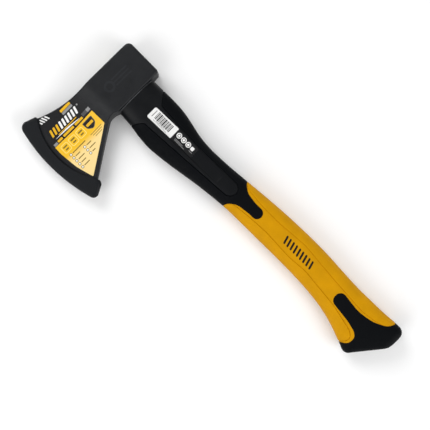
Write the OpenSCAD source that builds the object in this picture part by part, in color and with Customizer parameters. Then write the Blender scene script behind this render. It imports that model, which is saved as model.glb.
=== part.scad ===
// Hand axe: a forged head glued to a fibreglass-cored handle with moulded black and
// yellow skins, and a plastic guard that pulls off the cutting edge.
//
// The axe lies on its side. +Y runs from the butt to the head, +X points to the poll,
// the cutting edge faces -X and +Z points away from the surface the axe lies on.
// Outlines are drawn from a datum of their own: x = 0 is the poll face, y = 0 is the
// top of the head and z = 0 is the middle plane of the axe. lying() moves that datum
// to the part's frame, whose origin is at the middle of the footprint.

/* [Head] */
// Thickness of the head across its cheeks
head_thick = 27; // [26.8:0.1:27.6]
// Height of the poll block
poll_height = 40.5; // [40:0.1:41]
// Radius of the curved cutting edge
edge_radius = 172; // [171.6:0.1:172.2]
// Thickness left on the cutting edge
edge_thick = 0.5; // [0.3:0.1:1]
// Half of the angle between the ground bevels
bevel_angle = 13.5; // [12:0.5:16]
// Half thickness of the blade where the cheek taper meets the blade
blade_half = 6.2; // [6:0.1:6.8]

/* [Eye] */
// Length of the eye from blade side to poll side
eye_length = 43; // [42:0.5:43.5]
// Width of the eye across the cheeks
eye_width = 18; // [17:0.5:19]
// Thickness of the glue all round the tang
glue_gap = 1; // [0.6:0.1:1.4]
// Height of the glue bead between the head and the collar
bead_height = 1.2; // [0.8:0.1:1.6]

/* [Handle] */
// Width of the fibreglass core from front to rear
core_length = 18; // [16:0.5:19]
// Thickness of the fibreglass core
core_width = 12; // [10:0.5:12.5]
// Thickness of the soft skins over the inner sleeve
skin = 3; // [2.4:0.2:3]
// Roundness of the handle's section, where 2 is an ellipse
squareness = 2.4; // [2:0.1:3]

/* [Guard] */
// Gap all round the blade inside the guard
guard_gap = 0.35; // [0.3:0.05:0.5]
// Outer half thickness of the guard where it crosses the cutting edge
guard_half = 3.6; // [3.4:0.1:4]

/* [Labels] */
// Thickness of the adhesive labels
label_thick = 0.2; // [0.15:0.05:0.3]

/* [Hidden] */
$fn = 64;

black_steel = "#2b2d31";
black_plastic = "#232529";
black_rubber = "#2a2c30";
yellow_rubber = "#dba400";
label_yellow = "#f2c52c";
cured_glue = "#8f9294";
glass_fibre = "#c9c6a4";
paper_white = "#f0f0ee";

through = 60;            // height of the prisms that cut plan shapes right through
run_out = 400;           // length of the prisms that carry a section along the axe
overrun = 10;            // how far a cutting bar runs past the solid it cuts
coarse_arc = 15;         // degrees per segment on small corner arcs
fine_arc = 2.5;          // degrees per segment on long arcs
long_arc = 60;           // radius above which an arc counts as long

edge_centre = [38.5, -29];
blank_radius = edge_radius + 0.5;   // the forging before its edge is ground back
toe_angle = 12.1;        // where the edge arc runs straight into the toe
heel_angle = -14.8;      // where the edge arc runs straight into the heel
toe_y = 16;
heel_y = -80.5;
guard_radius = 175;
guard_toe_y = 18.9;
guard_heel_y = -84.6;
lip_centre = [-55.3, -30];
lip_radius = 70;
cavity_radius = edge_radius + 0.6;
cavity_toe_y = 13.7;
cavity_heel_y = -78.5;

eye_x = -32;
tang_length = eye_length - 2 * glue_gap;
tang_width = eye_width - 2 * glue_gap;
glue_top = -0.6;
core_x = -29;
core_end = -360;
collar_top = -poll_height - bead_height;

ring_pitch = 7;
ring_points = 28;
channel_floor = 11.6;
label_floor = channel_floor + 0.01;

// First and last ring of each length of the handle; ring 0 is at the top of the collar
inner_rings = [0, 43];
band_rings = [0, 19];
neck_rings = [0, 24];
grip_rings = [17, 47];
butt_rings = [36, 49];

// Side view of the handle: [y, front edge, rear edge, half thickness]
handle_stations = [
    [ -41.7, -53.6,  -9.0, 12.3],
    [ -57.0, -54.6,  -8.7, 12.4],
    [ -70.0, -56.4,  -8.5, 12.8],
    [ -83.0, -57.2,  -9.2, 13.0],
    [ -95.0, -56.2, -11.3, 12.9],
    [-110.0, -54.2, -14.4, 12.6],
    [-125.0, -51.7, -15.6, 12.3],
    [-140.0, -49.2, -15.2, 12.0],
    [-157.0, -47.0, -13.9, 11.8],
    [-175.0, -45.2, -12.1, 11.7],
    [-195.0, -44.5, -10.1, 11.8],
    [-220.0, -44.1,  -8.1, 12.2],
    [-250.0, -43.6,  -6.7, 12.6],
    [-275.0, -43.9,  -6.6, 12.6],
    [-300.0, -45.8,  -7.7, 12.4],
    [-320.0, -49.7,  -8.3, 12.5],
    [-340.0, -56.3,  -7.8, 13.0],
    [-352.0, -61.0,  -7.4, 13.3],
    [-366.0, -67.0,  -6.3, 13.4],
    [-386.0, -75.0,  -5.6, 13.4]
];

// Corners are [x, y, corner radius], in order round the outline
head_corners = [
    [0, 0, 5],
    [-86.9, 0, 131],
    tangent_corner(blank_radius, toe_angle, toe_y, 7.4),
    arc_corner(blank_radius),
    tangent_corner(blank_radius, heel_angle, heel_y, 4),
    [-64.5, -38.6, 9],
    [-58, -38.6, 6],
    [-53, -poll_height, 6],
    [0, -poll_height, 3]
];

// Upper half of the head's section, from the poll face to past the edge
cheek_corners = [
    [0, 0, 0],
    [0, head_thick / 2, 3],
    [-55.5, head_thick / 2, 30],
    [-76, blade_half, 120],
    [-140, 1.3, 0]
];

guard_corners = [
    [-95, 5.6, 0],
    [-111.2, 11.6, 2],
    tangent_corner(guard_radius, toe_angle, guard_toe_y, 6.5),
    arc_corner(guard_radius),
    tangent_corner(guard_radius, heel_angle, guard_heel_y, 5),
    [-109.2, -73.9, 2],
    [-95, -65, 0]
];

cavity_corners = [
    [-95, cavity_toe_y, 0],
    tangent_corner(cavity_radius, toe_angle, cavity_toe_y, 5),
    arc_corner(cavity_radius),
    tangent_corner(cavity_radius, heel_angle, cavity_heel_y, 4),
    [-95, cavity_heel_y, 0]
];

band_corners = [
    [-68, -30, 0],
    [2, -30, 0],
    [2, -45.4, 0],
    [-20.8, -65.8, 1],
    [-23.1, -115, 300],
    [-21.4, -167.5, 2],
    [-23.8, -171.4, 2],
    [-28.8, -173.6, 4],
    [-33.8, -171.4, 2],
    [-36.4, -167.5, 2],
    [-44, -65, 1],
    [-68, -46.8, 0]
];

channel_corners = [
    [-38.2, -61.2, 2.5],
    [-24.4, -61.2, 2.5],
    [-23.6, -93, 40],
    [-24.6, -153, 3],
    [-35.6, -153, 3],
    [-37.1, -93, 40]
];

grip_corners = [
    [-70, -170.5, 0],
    [-41.5, -173.2, 10],
    [-35.3, -181.5, 14],
    [-33.3, -195, 20],
    [-33.1, -205.7, 5.7],
    [-21.4, -205.7, 5.7],
    [-21.9, -193, 20],
    [-20.2, -181, 12],
    [-14, -172.4, 10],
    [5, -170.5, 0],
    [5, -367.2, 0],
    [-6.5, -367.2, 4],
    [-14.6, -362.2, 12],
    [-21.4, -350, 40],
    [-24.3, -333, 40],
    [-21.4, -307, 6.2],
    [-35.2, -307, 6.2],
    [-37.8, -332, 40],
    [-40.4, -343, 7],
    [-44, -347.7, 5],
    [-52.2, -348.1, 8],
    [-58.6, -340.6, 3],
    [-70, -330, 0]
];

butt_corners = [
    [-75, -290, 0],
    [5, -290, 0],
    [-5.7, -372, 0],
    [-5.7, -380, 7.9],
    [-27.8, -380, 12],
    [-61.8, -353.5, 6],
    [-57.6, -342.6, 0]
];

head_label_corners = [
    [-71, -1.4, 0.8],
    [-70.2, -38.4, 0.8],
    [-113.6, -66.5, 0.8],
    [-118.6, -49, 40],
    [-120.6, -30, 20],
    [-120.3, -18.6, 0.8],
    [-116.9, -16.6, 0.8],
    [-116.6, 1, 6],
    [-113.6, 7, 1.5],
    [-110.6, 8, 1],
    [-100, 3.9, 30],
    [-88, 0.7, 40]
];

barcode_corners = [
    [-37.5, -62.3, 1.6],
    [-25.2, -62.1, 1.6],
    [-24.2, -92.3, 0.8],
    [-36.4, -92.6, 0.8]
];

icon_corners = [
    [-36.2, -92.8, 0.3],
    [-24.3, -92.5, 0.3],
    [-24.6, -119, 0.8],
    [-35.4, -119.3, 0.8]
];

guard_top = max([for (p = rounded(guard_corners)) p[1]]);
butt_end = -380;
middle = [(edge_centre[0] - guard_radius) / 2, (guard_top + butt_end) / 2];

// Outline helpers ------------------------------------------------------------------

function unit(v) = v / norm(v);
function plan(p) = [p[0], p[1]];

// Point where the tangents at the toe and heel ends of an edge arc meet
function arc_corner(r) =
    let (half = (toe_angle - heel_angle) / 2, mid = (toe_angle + heel_angle) / 2)
    let (p = edge_centre + r / cos(half) * [-cos(mid), sin(mid)])
    [p[0], p[1], r];

// Point at height y on the tangent drawn at one end of an edge arc
function tangent_corner(r, angle, y, corner) =
    let (touch = edge_centre + r * [-cos(angle), sin(angle)])
    [touch[0] + (y - touch[1]) * tan(angle), y, corner];

// Tangent arc that replaces one corner of an outline
function corner_arc(before, here, after) =
    let (
        r = here[2],
        u = unit(plan(before) - plan(here)),
        v = unit(plan(after) - plan(here)),
        half = acos(u * v) / 2,
        centre = plan(here) + unit(u + v) * r / sin(half),
        first = plan(here) + u * r / tan(half) - centre,
        last = plan(here) + v * r / tan(half) - centre,
        start = atan2(first[1], first[0]),
        turn = atan2(first[0] * last[1] - first[1] * last[0], first * last),
        steps = max(2, ceil(abs(turn) / (r > long_arc ? fine_arc : coarse_arc)))
    )
    [for (k = [0 : steps]) centre + r * [cos(start + turn * k / steps), sin(start + turn * k / steps)]];

function corner_points(before, here, after) =
    here[2] == 0 ? [plan(here)] : corner_arc(before, here, after);

// Closed outline with every corner rounded
function rounded(corners) =
    let (n = len(corners))
    [for (i = [0 : n - 1])
        each corner_points(corners[(i + n - 1) % n], corners[i], corners[(i + 1) % n])];

// Open line with its inner corners rounded
function rounded_line(corners) =
    let (n = len(corners))
    concat(
        [plan(corners[0])],
        [for (i = [1 : n - 2]) each corner_points(corners[i - 1], corners[i], corners[i + 1])],
        [plan(corners[n - 1])]
    );

function reversed(list) = [for (i = [len(list) - 1 : -1 : 0]) list[i]];
function raised(line, rise) = [for (p = line) [p[0], p[1] + rise]];
function mirrored(line) = [for (p = reversed(line)) [p[0], -p[1]]];

// Handle surface -------------------------------------------------------------------

function station_slope(i, k) =
    let (
        a = handle_stations[max(i - 1, 0)],
        b = handle_stations[min(i + 1, len(handle_stations) - 1)]
    )
    (b[k] - a[k]) / (b[0] - a[0]);

function hermite(p, q, slope_p, slope_q, span, t) =
    (2 * t * t * t - 3 * t * t + 1) * p
    + (t * t * t - 2 * t * t + t) * slope_p * span
    + (3 * t * t - 2 * t * t * t) * q
    + (t * t * t - t * t) * slope_q * span;

// Value k of the handle stations at height y, on a smooth curve through them
function handle_at(y, k) =
    let (
        i = max([for (j = [0 : len(handle_stations) - 2]) if (y <= handle_stations[j][0]) j]),
        a = handle_stations[i],
        b = handle_stations[i + 1],
        span = b[0] - a[0]
    )
    hermite(a[k], b[k], station_slope(i, k), station_slope(i + 1, k), span, (y - a[0]) / span);

function bulge(c) = sign(c) * pow(abs(c), 2 / squareness);

// Section of the handle at height y as [x, z] points, with the skin taken off
function handle_section(y, inset) =
    let (
        front = handle_at(y, 1) + inset,
        rear = handle_at(y, 2) - inset,
        half = handle_at(y, 3) - inset
    )
    [for (k = [0 : ring_points - 1])
        let (a = 360 * k / ring_points)
        [(front + rear) / 2 + (rear - front) / 2 * bulge(cos(a)), half * bulge(sin(a))]];

function ring_y(k) = collar_top - ring_pitch * k;

// Length of the handle from its first to its last ring, with the skin taken off by inset
module handle_form(ends, inset) {
    rings = ends[1] - ends[0] + 1;
    points = [
        for (k = [ends[0] : ends[1]], p = handle_section(ring_y(k), inset))
            [p[0], ring_y(k), p[1]]
    ];
    sides = [
        for (k = [0 : rings - 2], j = [0 : ring_points - 1])
            let (a = k * ring_points + j, b = k * ring_points + (j + 1) % ring_points)
            each [[a, b + ring_points, b], [a, a + ring_points, b + ring_points]]
    ];
    caps = [
        [for (j = [0 : ring_points - 1]) j],
        [for (j = [ring_points - 1 : -1 : 0]) (rings - 1) * ring_points + j]
    ];
    polyhedron(points, concat(sides, caps));
}

// Upper half of the head's section, on the edge side of x only
function cheek_before(x) = [for (p = rounded_line(cheek_corners)) if (p[0] < x) p];

// Shared solids --------------------------------------------------------------------

module lying() {
    translate([-middle[0], -middle[1], head_thick / 2]) children();
}

// Plan outline cut through the whole thickness
module plan_prism(corners) {
    linear_extrude(through, center = true) polygon(rounded(corners));
}

// Section outline in x and z carried along y
module section_prism(outline) {
    rotate([90, 0, 0]) linear_extrude(run_out, center = true) polygon(outline);
}

// Flat bar with round edges, running down from y = top to y = bottom
module round_bar(x, bar_length, bar_width, top, bottom) {
    translate([x, top, 0]) rotate([90, 0, 0]) linear_extrude(top - bottom) {
        square([bar_length - bar_width, bar_width], center = true);
        for (side = [-1, 1]) translate([side * (bar_length - bar_width) / 2, 0]) circle(d = bar_width);
    }
}

module core_bar() {
    round_bar(core_x, core_length, core_width, 0, core_end);
}

module inner_form() {
    handle_form(inner_rings, skin);
}

module label_sheet(corners) {
    translate([0, 0, label_floor]) linear_extrude(label_thick) polygon(rounded(corners));
}

// Sub-parts ------------------------------------------------------------------------

module axe_head() {
    section = rounded_line(cheek_corners);
    cone_reach = 120;
    cone_half = edge_thick / 2 + cone_reach * tan(bevel_angle);
    color(black_steel) lying() difference() {
        intersection() {
            plan_prism(head_corners);
            section_prism(concat(section, mirrored([for (i = [1 : len(section) - 1]) section[i]])));
            translate([edge_centre[0], edge_centre[1], 0]) rotate_extrude($fn = 180) polygon([
                [0, -cone_half],
                [edge_radius - cone_reach, -cone_half],
                [edge_radius, -edge_thick / 2],
                [edge_radius, edge_thick / 2],
                [edge_radius - cone_reach, cone_half],
                [0, cone_half]
            ]);
        }
        round_bar(eye_x, eye_length, eye_width, overrun, -poll_height - overrun);
    }
}

module eye_epoxy() {
    bead_spread = -0.4;
    color(cured_glue) lying() difference() {
        union() {
            round_bar(eye_x, eye_length, eye_width, glue_top, -poll_height);
            translate([0, -poll_height, 0]) rotate([90, 0, 0]) linear_extrude(bead_height)
                polygon(handle_section(collar_top, bead_spread));
        }
        round_bar(eye_x, tang_length, tang_width, overrun, collar_top - overrun);
    }
}

module fibreglass_core() {
    color(glass_fibre) lying() core_bar();
}

module handle_jacket() {
    root = 1;
    color(black_plastic) lying() difference() {
        union() {
            round_bar(eye_x, tang_length, tang_width, 0, collar_top - root);
            inner_form();
            intersection() {
                handle_form(band_rings, 0);
                plan_prism(band_corners);
            }
        }
        round_bar(core_x, core_length, core_width, overrun, core_end);
        for (side = [-1, 1])
            translate([0, 0, side * (channel_floor + through / 2)]) plan_prism(channel_corners);
    }
}

module neck_overmould() {
    color(black_rubber) lying() difference() {
        handle_form(neck_rings, 0);
        plan_prism(band_corners);
        plan_prism(grip_corners);
        inner_form();
    }
}

module grip_sleeve() {
    color(yellow_rubber) lying() difference() {
        intersection() {
            handle_form(grip_rings, 0);
            plan_prism(grip_corners);
        }
        inner_form();
        core_bar();
    }
}

module butt_cap() {
    color(black_rubber) lying() difference() {
        intersection() {
            handle_form(butt_rings, 0);
            plan_prism(butt_corners);
        }
        plan_prism(grip_corners);
        inner_form();
        core_bar();
    }
}

module blade_guard() {
    wall_slope = 0.15;
    wall_reach = 45;
    nose_radius = 3;
    nose_half = guard_half - (guard_radius - edge_radius) * wall_slope;
    wall = rounded_line([
        [guard_radius - wall_reach, 0, 0],
        [guard_radius - wall_reach, nose_half + wall_reach * wall_slope, 0],
        [guard_radius, nose_half, nose_radius],
        [guard_radius, 0, 0]
    ]);
    roof = raised(cheek_before(-90), guard_gap);
    color(black_plastic) lying() difference() {
        intersection() {
            plan_prism(guard_corners);
            translate([edge_centre[0], edge_centre[1], 0]) rotate_extrude($fn = 180)
                polygon(concat(wall, mirrored([for (i = [1 : len(wall) - 2]) wall[i]])));
        }
        translate([lip_centre[0], lip_centre[1], -through / 2])
            cylinder(r = lip_radius, h = through, $fn = 180);
        intersection() {
            plan_prism(cavity_corners);
            section_prism(concat(roof, mirrored(roof)));
        }
    }
}

module head_label() {
    cheek = cheek_before(-58);
    color(label_yellow) lying() intersection() {
        plan_prism(head_label_corners);
        section_prism(concat(cheek, reversed(raised(cheek, label_thick))));
    }
}

module barcode_label() {
    color(paper_white) lying() label_sheet(barcode_corners);
}

module icon_label() {
    color(black_plastic) lying() label_sheet(icon_corners);
}

axe_head();
eye_epoxy();
fibreglass_core();
handle_jacket();
neck_overmould();
grip_sleeve();
butt_cap();
blade_guard();
head_label();
barcode_label();
icon_label();
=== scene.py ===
"""Looks of the hand axe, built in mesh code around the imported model's frame.

Shapes are worked out in millimetres from a datum of their own: x = 0 is the poll face,
y = 0 is the top of the head and z = 0 is the middle plane. to_frame() carries them into
the frame, in metres.
"""
import math

import bmesh
import bpy
import numpy as np
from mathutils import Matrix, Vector


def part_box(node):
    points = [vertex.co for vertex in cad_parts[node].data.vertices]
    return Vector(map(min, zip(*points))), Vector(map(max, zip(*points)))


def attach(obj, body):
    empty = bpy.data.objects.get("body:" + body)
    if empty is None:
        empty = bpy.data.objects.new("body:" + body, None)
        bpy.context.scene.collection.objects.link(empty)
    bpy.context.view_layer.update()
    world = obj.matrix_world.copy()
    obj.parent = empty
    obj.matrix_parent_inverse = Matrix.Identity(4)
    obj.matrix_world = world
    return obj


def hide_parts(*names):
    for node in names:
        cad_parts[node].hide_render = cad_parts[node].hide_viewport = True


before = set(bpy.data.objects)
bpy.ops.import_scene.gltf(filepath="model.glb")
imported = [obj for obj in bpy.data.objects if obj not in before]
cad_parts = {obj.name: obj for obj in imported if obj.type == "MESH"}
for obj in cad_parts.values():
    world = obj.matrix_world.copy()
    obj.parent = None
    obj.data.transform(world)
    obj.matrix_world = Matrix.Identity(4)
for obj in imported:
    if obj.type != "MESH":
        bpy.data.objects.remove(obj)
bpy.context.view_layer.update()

# Frame -----------------------------------------------------------------

MM = 0.001
head_low, head_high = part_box("axe_head")
_, core_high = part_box("fibreglass_core")
DATUM = np.array([head_high.x, core_high.y, (head_low.z + head_high.z) / 2])
HEAD_HALF = (head_high.z - head_low.z) / 2 / MM


def to_frame(points):
    """Datum millimetres to metres in the frame."""
    return DATUM + np.asarray(points, dtype=float) * MM


# Dimensions, in datum millimetres --------------------------------------

EDGE_CENTRE = np.array([38.5, -29.0])
EDGE_RADIUS = 172.0
BLANK_RADIUS = EDGE_RADIUS + 0.5
EDGE_THICK = 0.5
BEVEL_SLOPE = math.tan(math.radians(13.5))
GROUND_HALF = 1.7
TOE_ANGLE = math.radians(12.1)
HEEL_ANGLE = math.radians(-14.8)
POLL_HEIGHT = 40.5
BLADE_HALF = 6.2

EYE_X = -32.0
EYE_LENGTH = 43.0
EYE_WIDTH = 18.0
GLUE_GAP = 1.0
GLUE_TOP = -0.6

CORE_X = -29.0
CORE_LENGTH = 18.0
CORE_WIDTH = 12.0
CORE_END = -360.0

SKIN = 3.0
COLLAR_TOP = -POLL_HEIGHT - 1.2
SLEEVE_END = -342.7
CHANNEL_FLOOR = 11.6
LABEL_THICK = 0.2
LABEL_GAP = 0.01
# Heights between which the yellow of the head label turns paler, a painted reflection of a light on
# the film
LABEL_GLARE_SPAN = (-35.5, -43.0)

# Grooves: half width and depth. Ramps: width over which a level changes
BAND_GROOVE = (0.75, 0.75)
GRIP_GROOVE = (0.65, 0.5)
LAND_CREASE = (0.4, 0.6)
LAND_STEP = 0.45
LAND_RAMP = 1.4
GRIP_RAMP = 0.6
CHANNEL_RAMP = 0.6
CHANNEL_RISE = 1.6

GUARD_RADIUS = 175.0
GUARD_NOSE_HALF = 3.15
GUARD_WALL_SLOPE = 0.15
GUARD_GAP = 0.35
CAVITY_RADIUS = EDGE_RADIUS + 0.6
LIP_CENTRE = np.array([-55.3, -30.0])
LIP_RADIUS = 70.0
GUARD_END_RADIUS = 3.0

# Side view of the handle: height y, front edge, rear edge, half thickness
HANDLE_STATIONS = np.array([
    [-41.7, -53.6, -9.0, 12.3],
    [-57.0, -54.6, -8.7, 12.4],
    [-70.0, -56.4, -8.5, 12.8],
    [-83.0, -57.2, -9.2, 13.0],
    [-95.0, -56.2, -11.3, 12.9],
    [-110.0, -54.2, -14.4, 12.6],
    [-125.0, -51.7, -15.6, 12.3],
    [-140.0, -49.2, -15.2, 12.0],
    [-157.0, -47.0, -13.9, 11.8],
    [-175.0, -45.2, -12.1, 11.7],
    [-195.0, -44.5, -10.1, 11.8],
    [-220.0, -44.1, -8.1, 12.2],
    [-250.0, -43.6, -6.7, 12.6],
    [-275.0, -43.9, -6.6, 12.6],
    [-300.0, -45.8, -7.7, 12.4],
    [-320.0, -49.7, -8.3, 12.5],
    [-340.0, -56.3, -7.8, 13.0],
    [-352.0, -61.0, -7.4, 13.2],
    [-366.0, -67.0, -6.3, 13.3],
    [-386.0, -75.0, -5.6, 13.3],
])
SQUARENESS = 2.4
BUTT_SQUARENESS = 3.3
BUTT_ROUNDING = 9.0
BUTT_START = -300.0
BUTT_TIP = (-18.0, -380.0)
BUTT_POWER = 2.3
BUTT_BLEND = 26.0
BUTT_STEPS = 400
# Height where each side of the butt leaves the stations, and its corners down to the tip
BUTT_FRONT = (-346.0, [(-61.8, -353.5, 6), (-27.8, -379.4, 12)])
BUTT_REAR = (-366.0, [(-5.8, -379.7, 7.8)])


def arc_corner(radius):
    """Corner where the tangents at the toe and heel ends of an edge arc meet."""
    half = (TOE_ANGLE - HEEL_ANGLE) / 2
    mid = (TOE_ANGLE + HEEL_ANGLE) / 2
    x, y = EDGE_CENTRE + radius / math.cos(half) * np.array([-math.cos(mid), math.sin(mid)])
    return (x, y, radius)


def tangent_corner(radius, angle, y, corner):
    """Corner at height y on the tangent drawn at one end of an edge arc."""
    touch = EDGE_CENTRE + radius * np.array([-math.cos(angle), math.sin(angle)])
    return (touch[0] + (y - touch[1]) * math.tan(angle), y, corner)


# Corners are (x, y, corner radius), in order round each outline
HEAD_CORNERS = [
    (0, 0, 5),
    (-86.9, 0, 131),
    tangent_corner(BLANK_RADIUS, TOE_ANGLE, 16, 7.4),
    arc_corner(BLANK_RADIUS),
    tangent_corner(BLANK_RADIUS, HEEL_ANGLE, -80.5, 4),
    (-64.5, -38.6, 9),
    (-58, -38.6, 6),
    (-53, -POLL_HEIGHT, 6),
    (0, -POLL_HEIGHT, 3),
]
CHEEK_CORNERS = [
    (10, HEAD_HALF, 0),
    (-55.5, HEAD_HALF, 30),
    (-76, BLADE_HALF, 120),
    (-140, 1.3, 0),
]
GUARD_CORNERS = [
    (-80, 0, 0),
    (-95, 5.6, 0),
    (-111.2, 11.6, 2),
    tangent_corner(GUARD_RADIUS, TOE_ANGLE, 18.8, 6.5),
    arc_corner(GUARD_RADIUS),
    tangent_corner(GUARD_RADIUS, HEEL_ANGLE, -84.6, 5),
    (-113.4, -76.6, 4),
    (-110.2, -69.5, 2),
    (-80, -50, 0),
]
CAVITY_CORNERS = [
    (-60, 13.7, 0),
    tangent_corner(CAVITY_RADIUS, TOE_ANGLE, 13.7, 5),
    arc_corner(CAVITY_RADIUS),
    tangent_corner(CAVITY_RADIUS, HEEL_ANGLE, -78.5, 4),
    (-60, -78.5, 0),
]
BAND_CORNERS = [
    (-68, -30, 0), (2, -30, 0), (2, -45.4, 0), (-20.8, -65.8, 1),
    (-23.1, -115, 300), (-21.4, -167.5, 2), (-23.8, -171.4, 2), (-28.8, -173.6, 4),
    (-33.8, -171.4, 2), (-36.4, -167.5, 2), (-44, -65, 1), (-68, -46.8, 0),
]
CHANNEL_CORNERS = [
    (-38.2, -61.2, 2.5), (-24.4, -61.2, 2.5), (-23.6, -93, 40), (-24.6, -153, 3),
    (-35.6, -153, 3), (-37.1, -93, 40),
]
GRIP_CORNERS = [
    (-80, -168.5, 0), (-41.5, -173.2, 10), (-35.3, -181.5, 14), (-33.3, -195, 20),
    (-33.1, -205.7, 5.7), (-21.4, -205.7, 5.7), (-21.9, -193, 20), (-20.2, -181, 12),
    (-14, -172.4, 10), (5, -170.5, 0), (5, -367.2, 0), (-6.5, -367.2, 4),
    (-14.6, -362.2, 12), (-21.4, -350, 40), (-24.3, -333, 40), (-21.4, -307, 6.2),
    (-35.2, -307, 6.2), (-37.8, -332, 40), (-40.4, -343, 7), (-44, -347.7, 5),
    (-52.2, -348.1, 8), (-58.6, -340.6, 3), (-80, -320, 0),
]
# The lower land down the middle of the grip, between its raised front and rear strips
LAND_CORNERS = [
    (-46, -168, 0), (-37.6, -178, 10), (-35.6, -193, 40), (-33.8, -218, 60),
    (-34.9, -250, 40), (-33.2, -271, 40), (-36.9, -313, 90), (-42.4, -338.5, 8),
    (-45.8, -344.6, 4), (-51.4, -345, 6), (-62, -338, 0), (-75, -370, 0),
    (-10, -372, 0), (-13.5, -367, 6), (-19, -352, 40), (-21.8, -335, 40),
    (-19.4, -294, 60), (-16.2, -254, 30), (-18.9, -222, 60), (-19.2, -198, 40),
    (-17.2, -178, 10), (-10, -168, 0),
]
HEAD_LABEL_CORNERS = [
    (-71, -1.4, 0.8), (-70.2, -38.4, 0.8), (-113.6, -66.5, 0.8), (-118.6, -49, 40),
    (-120.6, -30, 20), (-120.3, -18.6, 0.8), (-116.9, -16.6, 0.8), (-116.6, 1, 6),
    (-113.6, 7, 1.5), (-110.6, 8, 1), (-100, 3.9, 30), (-88, 0.7, 40),
]
BARCODE_CORNERS = [
    (-37.5, -62.3, 1.6), (-25.2, -62.1, 1.6), (-24.2, -92.3, 0.8), (-36.4, -92.6, 0.8),
]
ICON_CORNERS = [
    (-36.2, -92.8, 0.3), (-24.3, -92.5, 0.3), (-24.6, -119, 0.8), (-35.4, -119.3, 0.8),
]


# Outlines --------------------------------------------------------------

ARC_PITCH = 0.7
LEAST_STEPS = 4


def unit(vector):
    return vector / np.linalg.norm(vector)


def corner_points(before, here, after):
    """Tangent arc that replaces one corner, or the corner itself where its radius is 0."""
    corner = np.array(here[:2], dtype=float)
    radius = here[2]
    if radius == 0:
        return [corner]
    u = unit(np.array(before[:2]) - corner)
    v = unit(np.array(after[:2]) - corner)
    half = math.acos(np.clip(u @ v, -1, 1)) / 2
    centre = corner + unit(u + v) * radius / math.sin(half)
    first = corner + u * radius / math.tan(half) - centre
    last = corner + v * radius / math.tan(half) - centre
    start = math.atan2(first[1], first[0])
    turn = math.atan2(first[0] * last[1] - first[1] * last[0], first @ last)
    steps = max(LEAST_STEPS, math.ceil(abs(turn) * radius / ARC_PITCH))
    angles = start + turn * np.arange(steps + 1) / steps
    return [centre + radius * np.array([math.cos(a), math.sin(a)]) for a in angles]


def rounded(corners):
    """Closed outline with every corner rounded."""
    count = len(corners)
    points = []
    for i in range(count):
        points += corner_points(corners[i - 1], corners[i], corners[(i + 1) % count])
    return np.array(points)


def rounded_line(corners):
    """Open line with its inner corners rounded."""
    points = [np.array(corners[0][:2], dtype=float)]
    for before, here, after in zip(corners, corners[1:], corners[2:]):
        points += corner_points(before, here, after)
    points.append(np.array(corners[-1][:2], dtype=float))
    return np.array(points)


def inside(points, outline):
    """Distance from each point to a closed outline in plan, positive inside it."""
    x, y = points[:, 0], points[:, 1]
    nearest = np.full(len(points), np.inf)
    within = np.zeros(len(points), dtype=bool)
    for (ax, ay), (bx, by) in zip(outline, np.roll(outline, -1, axis=0)):
        dx, dy = bx - ax, by - ay
        length = dx * dx + dy * dy
        if length == 0:
            continue
        share = np.clip(((x - ax) * dx + (y - ay) * dy) / length, 0, 1)
        nearest = np.minimum(nearest, np.hypot(x - ax - share * dx, y - ay - share * dy))
        if dy != 0:
            crossed = ((ay > y) != (by > y)) & (x < ax + (y - ay) * dx / dy)
            within ^= crossed
    return np.where(within, nearest, -nearest)


def outline_field(corners):
    """Field that measures the distance inside a rounded outline."""
    outline = rounded(corners)
    return lambda points: inside(points, outline)


def box_corners(x, y, width, height, radius=0.0, slant=0.0):
    """Corners of a box about its middle, whose top is shifted sideways by slant."""
    half_w, half_h = width / 2, height / 2
    return [
        (x - half_w - slant / 2, y - half_h, radius),
        (x + half_w - slant / 2, y - half_h, radius),
        (x + half_w + slant / 2, y + half_h, radius),
        (x - half_w + slant / 2, y + half_h, radius),
    ]


def reach_from(points, centre):
    """Distance of each point from a centre in plan."""
    return np.hypot(points[:, 0] - centre[0], points[:, 1] - centre[1])


def disc_field(x, y, radius):
    return lambda points: radius - reach_from(points, (x, y))


# Sheets of triangles ---------------------------------------------------

SNAP = 0.05


class Sheet:
    """Triangles over two parameters that can be cut along the level lines of fields.

    place turns parameters into points, so that a point made by a cut lies on the true
    surface. turn is the period of the second parameter on a surface that closes.
    """

    def __init__(self, params, triangles, place, fields, turn=0.0):
        self.params = params
        self.triangles = triangles
        self.place = place
        self.fields = fields
        self.turn = turn
        points = place(params)
        self.values = {name: field(points) for name, field in fields.items()}

    def add_field(self, name, field):
        self.fields[name] = field
        self.values[name] = field(self.place(self.params))

    def cut(self, name, *levels):
        for level in levels:
            self.cut_level(name, level)

    def cut_level(self, name, level):
        values = self.values[name]
        values[np.abs(values - level) < SNAP] = level
        offset = values - level
        tri = self.triangles
        ends = np.roll(tri, -1, axis=1)
        crossed = offset[tri] * offset[ends] < 0
        if not crossed.any():
            return
        edges = np.sort(np.stack([tri[crossed], ends[crossed]], axis=1), axis=1)
        edges, which = np.unique(edges, axis=0, return_inverse=True)
        added = np.full(tri.shape, -1)
        added[crossed] = len(self.params) + which.ravel()
        self.triangles = split_triangles(tri, crossed, added)
        first, last = edges[:, 0], edges[:, 1]
        share = offset[first] / (offset[first] - offset[last])
        step = self.params[last] - self.params[first]
        if self.turn:
            step[:, 1] -= self.turn * np.round(step[:, 1] / self.turn)
        params = self.params[first] + share[:, None] * step
        points = self.place(params)
        self.params = np.concatenate([self.params, params])
        for key, field in self.fields.items():
            new = field(points)
            if key == name:
                new[:] = level
            self.values[key] = np.concatenate([self.values[key], new])

    def mean(self, name):
        """Mean of a field over each triangle."""
        return self.values[name][self.triangles].mean(axis=1)

    def keep(self, mask):
        self.triangles = self.triangles[mask]


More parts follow.
